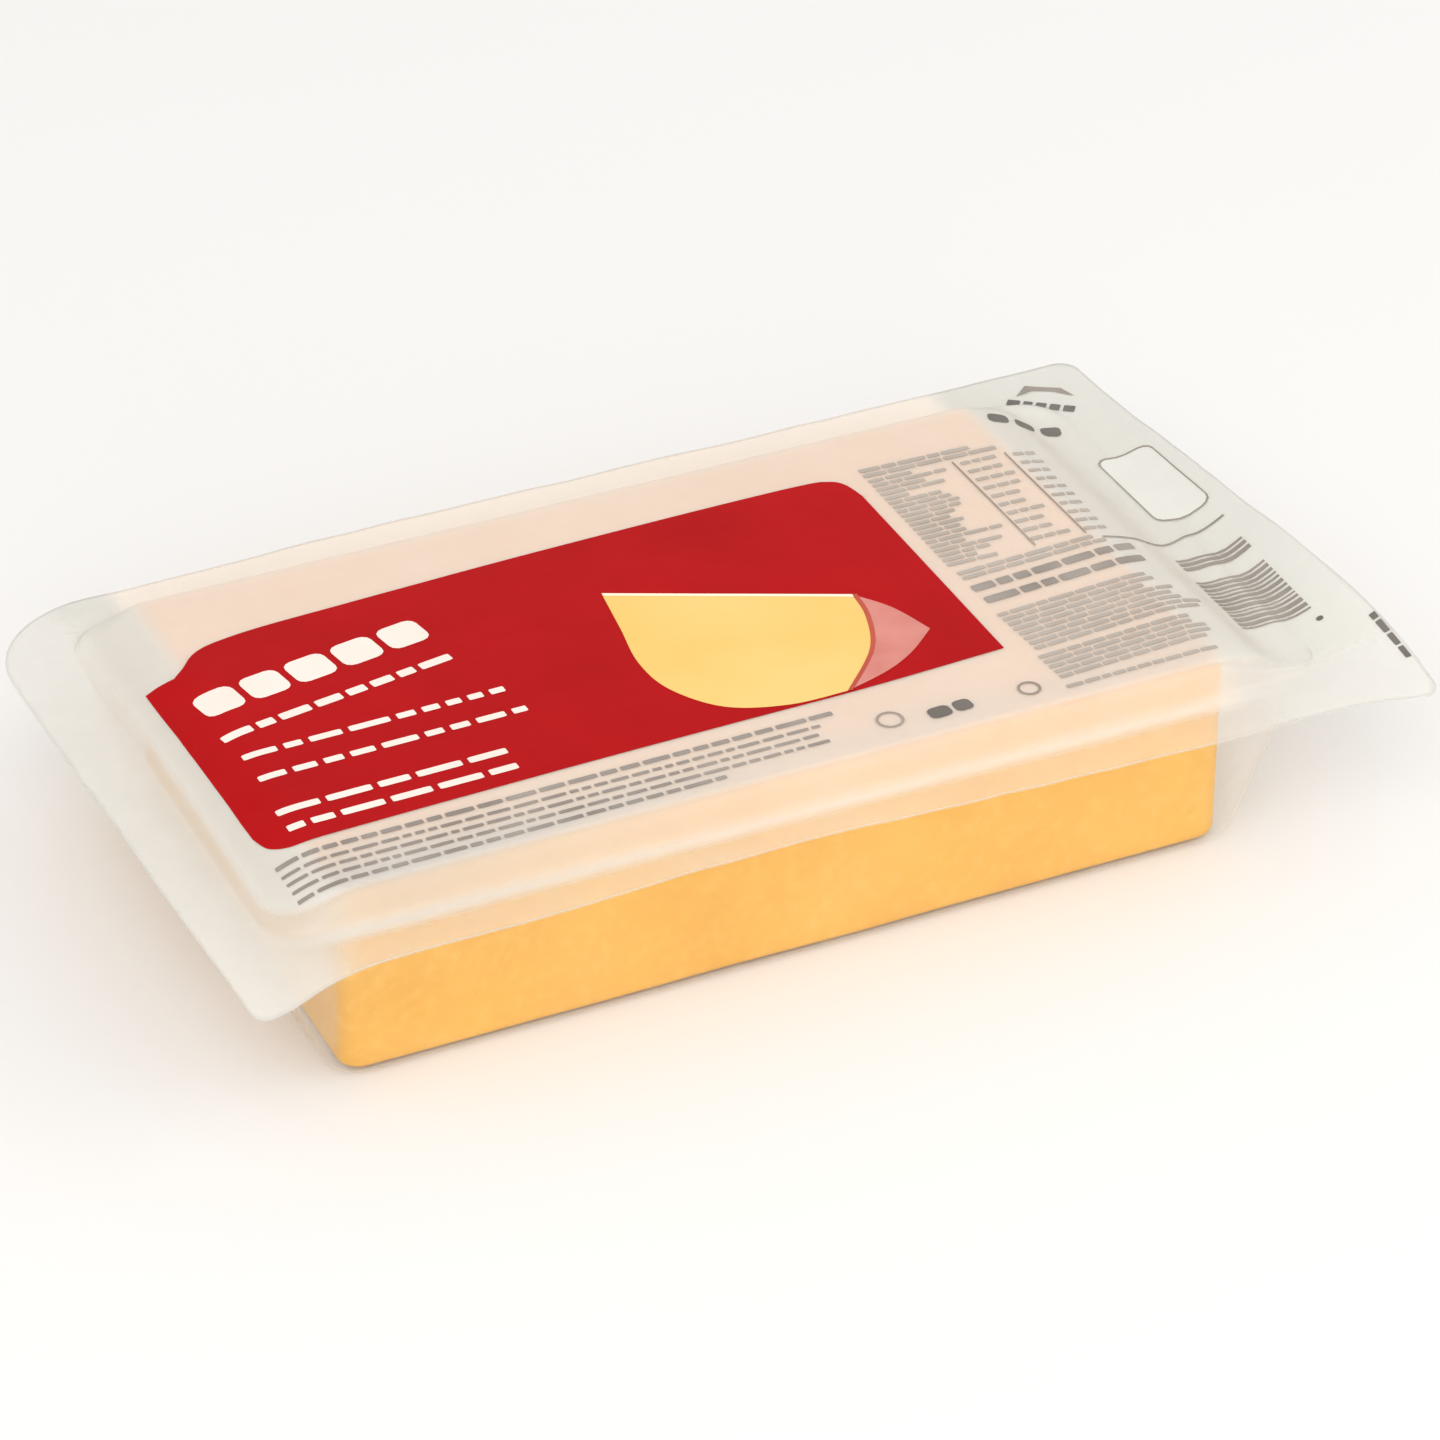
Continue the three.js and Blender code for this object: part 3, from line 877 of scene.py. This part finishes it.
tableBlocks = [
    {"start": (56, 37.4), "end": (84.5, 36.6), "bars": {
        "Rows": 2, "Row Spacing": 2.0, "Bar Height": 1.2, "Shortest": 2, "Longest": 6, "Gap": 0.5,
        "Fullest": 1.0}},
    {"start": (56, 33.2), "end": (72.6, 33.0), "bars": {
        "Rows": 20, "Row Spacing": 1.78, "Bar Height": 1.0, "Shortest": 2, "Longest": 6,
        "Gap": 0.5, "Fullest": 0.62, "Bars": 12}},
    {"start": (75, 31.8), "end": (83.4, 31.6), "bars": {
        "Rows": 10, "Row Spacing": 3.4, "Bar Height": 1.1, "Shortest": 1.6, "Longest": 3, "Gap": 0.5,
        "Bars": 6}},
    {"start": (86, 31.0), "end": (92.4, 30.8), "bars": {
        "Rows": 10, "Row Spacing": 3.4, "Bar Height": 1.1, "Shortest": 1.4, "Longest": 2.6,
        "Gap": 0.5, "Bars": 6}},
    {"start": (56, -4.2), "end": (91, -2.4), "bars": {
        "Rows": 2, "Row Spacing": 1.9, "Bar Height": 1.1, "Shortest": 2, "Longest": 6, "Gap": 0.5}},
    {"start": (56, -20.4), "end": (94, -17.8), "bars": {
        "Rows": 8, "Row Spacing": 1.85, "Bar Height": 1.05, "Shortest": 2, "Longest": 6, "Gap": 0.5,
        "Fullest": 0.9}},
    {"start": (56, -36.4), "end": (94.6, -34), "bars": {
        "Rows": 5, "Row Spacing": 1.85, "Bar Height": 1.05, "Shortest": 2, "Longest": 6, "Gap": 0.5,
        "Fullest": 0.8}},
    {"start": (56, -47.2), "end": (89, -46.4), "bars": {
        "Bar Height": 1.0, "Shortest": 1.6, "Longest": 4, "Gap": 0.5, "Fullest": 1.0}},
]

boldBlocks = [
    {"start": (88.5, 46.5), "end": (107, 41), "bars": {
        "Bar Height": 3.6, "Shortest": 3.2, "Longest": 4.6, "Gap": 1.4, "Corner": 0.3}},
    {"start": (112.4, -40.2), "end": (112.4, -42.2), "bars": {
        "Bar Height": 1.3, "Shortest": 1.1, "Longest": 1.2, "Corner": 0.4, "Fullest": 1.0}},
    {"start": (120.2, -46), "end": (121.6, -59), "bars": {
        "Bar Height": 1.3, "Shortest": 1.0, "Longest": 3.2, "Gap": 0.5}},
    {"start": (98.5, 57.4), "end": (111.5, 47.6), "bars": {
        "Bar Height": 2.3, "Shortest": 1.6, "Longest": 2.6, "Gap": 0.7, "Fullest": 1.0}},
    {"start": (29.4, -45), "end": (38.8, -44.4), "bars": {
        "Bar Height": 3.4, "Shortest": 3.4, "Longest": 4.4, "Gap": 0.8, "Corner": 0.3, "Fullest": 1.0}},
]


def makeRows(name, blocks, ink, height, seed):
    bm = bmesh.new()
    for k, block in enumerate(blocks):
        addBars(bm, block, ink, seed + k)
    return inkPiece(name, bm, ink, height)


printPieces.append(makeRows("print_white_rows", whiteBlocks, whiteInk,
                            printing["lift"] + printing["overprint"], seed=11))
printPieces.append(makeRows("print_grey_rows", greyBlocks, greyInk, printing["lift"], seed=31))
printPieces.append(makeRows("print_table_rows", tableBlocks, tableInk, printing["lift"], seed=41))
printPieces.append(makeRows("print_bold_rows", boldBlocks, boldInk, printing["lift"], seed=61))


def ring(outline, width):
    # The strips of a frame of that width just inside an outline
    slant = 1.2  # the way to the centre crosses the frame at a slant
    centre = sum((Vector(point) for point in outline), Vector((0, 0))) / len(outline)
    inner = []
    for point in outline:
        away = Vector(point) - centre
        inner.append(Vector(point) - away.normalized() * width * slant)
    return [(outline[i - 1], outline[i], inner[i], inner[i - 1]) for i in range(len(outline))]


marks = {
    "dateField": {"centre": (108.6, 16), "size": (11.6, 26), "corner": 2.2, "width": 0.4},
    "sealLine": [(87, -3.2), (94, -4.6), (101, -4.2), (107, -2.6), (113.6, -2.2)],
    "sealLineWidth": 0.5,
    "tableRules": [(73.6, 33), (84.4, 32)],                   # their tops
    "tableRuleFoot": -1.2, "tableRuleWidth": 0.35,
    "peelArrow": [(104.6, 61.6), (101.2, 58.6), (105.2, 59.4), (108.6, 57.4), (111.6, 53.8),
                  (110.6, 57.6)],
    "ringPlaces": [(22.4, -43.4, 2.6), (49.6, -44.8, 2.2)],   # x, y, radius
    "ringWidth": 0.4, "ringSides": 15,
}


def dateOutline():
    # A rectangle with round corners
    field = marks["dateField"]
    (cx, cy), (width, height), corner = field["centre"], field["size"], field["corner"]
    outline = []
    for k, (sx, sy) in enumerate(((1, 1), (-1, 1), (-1, -1), (1, -1))):
        for turn in (0, 30, 60, 90):
            angle = math.radians(90 * k + turn)
            x = cx + sx * (width / 2 - corner) + corner * math.cos(angle)
            y = cy + sy * (height / 2 - corner) + corner * math.sin(angle)
            outline.append(Vector((x, y)))
    return outline


def makeDateField():
    bm = bmesh.new()
    flatShape(bm, dateOutline())
    fieldInk = inkMaterial("offWhiteGravureInk", "field", 60)
    return inkPiece("print_date_field", bm, fieldInk, printing["lift"])


def makeMarks():
    # A frame for a date, a wavy rule, the table's rules, a peel arrow and two plain rings
    bm = bmesh.new()
    shapes = ring(dateOutline(), marks["dateField"]["width"])
    for x, y, radius in marks["ringPlaces"]:
        turns = [math.radians(360 / marks["ringSides"] * i) for i in range(marks["ringSides"])]
        shapes += ring([Vector((x + radius * math.cos(a), y + radius * math.sin(a))) for a in turns],
                       marks["ringWidth"])
    wave = curvedOutline([marks["sealLine"]], steps=6) + [Vector(marks["sealLine"][-1])]
    drop = Vector((0, marks["sealLineWidth"]))
    shapes += [(a, b, b - drop, a - drop) for a, b in zip(wave, wave[1:])]
    for x, y in marks["tableRules"]:
        end = Vector((x, marks["tableRuleFoot"]))
        side = Vector((marks["tableRuleWidth"], 0))
        shapes.append((Vector((x, y)), Vector((x, y)) + side, end + side, end))
    for outline in (*shapes, marks["peelArrow"]):
        flatShape(bm, outline)
    bmesh.ops.remove_doubles(bm, verts=bm.verts, dist=mergeWithin)
    return inkPiece("print_marks", bm, greyInk, printing["lift"] + printing["overprint"])


printPieces += [makeDateField(), makeMarks()]
print("rows and marks done")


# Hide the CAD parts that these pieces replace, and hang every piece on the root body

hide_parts("cheese_block")
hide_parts("tray_film")
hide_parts("lid_film")
for piece in (cheesePiece, trayPiece, lidPiece, *printPieces):
    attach(piece, "root")


# Floor, lights and camera

studio = {
    "floorSize": 6.0, "floorLevel": -0.2,     # in metres across, and in millimetres
    "floor": "#E6E4E1", "floorPale": "#E9E7E5",
    "sky": "#FFFFFF", "skyStrength": 0.9,
    "lights": [
        # place and size in metres, watts
        ((-0.9, -1.2, 1.6), 1.4, 14.5),
        ((-0.3, -1.9, 0.55), 1.2, 11),
        ((1.3, -0.6, 1.1), 1.2, 5.5),
    ],
}


def makeFloor():
    material, tree = newMaterial("paleFloor")
    place = addNode(tree, "ShaderNodeTexCoord")
    cloud = addNode(tree, "ShaderNodeTexNoise", {"Scale": 3, "Detail": 2},
                    {"Vector": place.outputs["Object"]})
    colour = addNode(tree, "ShaderNodeMix", {
        "data_type": "RGBA", 6: hexColour(studio["floor"]), 7: hexColour(studio["floorPale"])},
        {0: cloud.outputs["Fac"]})
    shader = addNode(tree, "ShaderNodeBsdfPrincipled", {"Roughness": 0.8, "Specular IOR Level": 0.2},
                     {"Base Color": colour.outputs[2]})
    addNode(tree, "ShaderNodeOutputMaterial", {}, {"Surface": shader.outputs[0]})
    half = studio["floorSize"] / 2 / mm
    corners = ((-half, -half), (half, -half), (half, half), (-half, half))
    bm = bmesh.new()
    bm.faces.new([bm.verts.new((x, y, studio["floorLevel"])) for x, y in corners])
    return meshObject("floor", bm, material)


makeFloor()

world = bpy.data.worlds.new("studio")
world.use_nodes = True
world.node_tree.nodes["Background"].inputs["Color"].default_value = hexColour(studio["sky"])
world.node_tree.nodes["Background"].inputs["Strength"].default_value = studio["skyStrength"]
scene.world = world
scene.view_settings.view_transform = "Standard"
scene.cycles.transparent_max_bounces = 32  # light passes up to a dozen layers of film

for number, (place, size, watts) in enumerate(studio["lights"]):
    light = bpy.data.lights.new(f"softbox{number}", "AREA")
    light.energy = watts
    light.size = size
    lamp = bpy.data.objects.new(light.name, light)
    lamp.location = place
    lamp.rotation_euler = (-Vector(place)).to_track_quat("-Z", "Y").to_euler()
    scene.collection.objects.link(lamp)

view = {
    "place": (-0.33317, -0.74327, 0.54862),
    "azimuth": -24.7235, "elevation": 32.9939, "roll": -0.3165,
    "lens": 131.383, "nearest": 0.05,
}


def makeCamera():
    a, e, r = (math.radians(view[key]) for key in ("azimuth", "elevation", "roll"))
    right = Vector((math.cos(a), math.sin(a), 0))
    ahead = Vector((-math.sin(a) * math.cos(e), math.cos(a) * math.cos(e), -math.sin(e)))
    up = right.cross(ahead)
    turnedRight = right * math.cos(r) + up * math.sin(r)
    turnedUp = up * math.cos(r) - right * math.sin(r)
    data = bpy.data.cameras.new("camera")
    data.lens = view["lens"]
    data.clip_start = view["nearest"]
    camera = bpy.data.objects.new("camera", data)
    axes = Matrix((turnedRight, turnedUp, -ahead)).transposed().to_4x4()
    camera.matrix_world = Matrix.Translation(view["place"]) @ axes
    scene.collection.objects.link(camera)
    scene.camera = camera


makeCamera()
print("stage done")
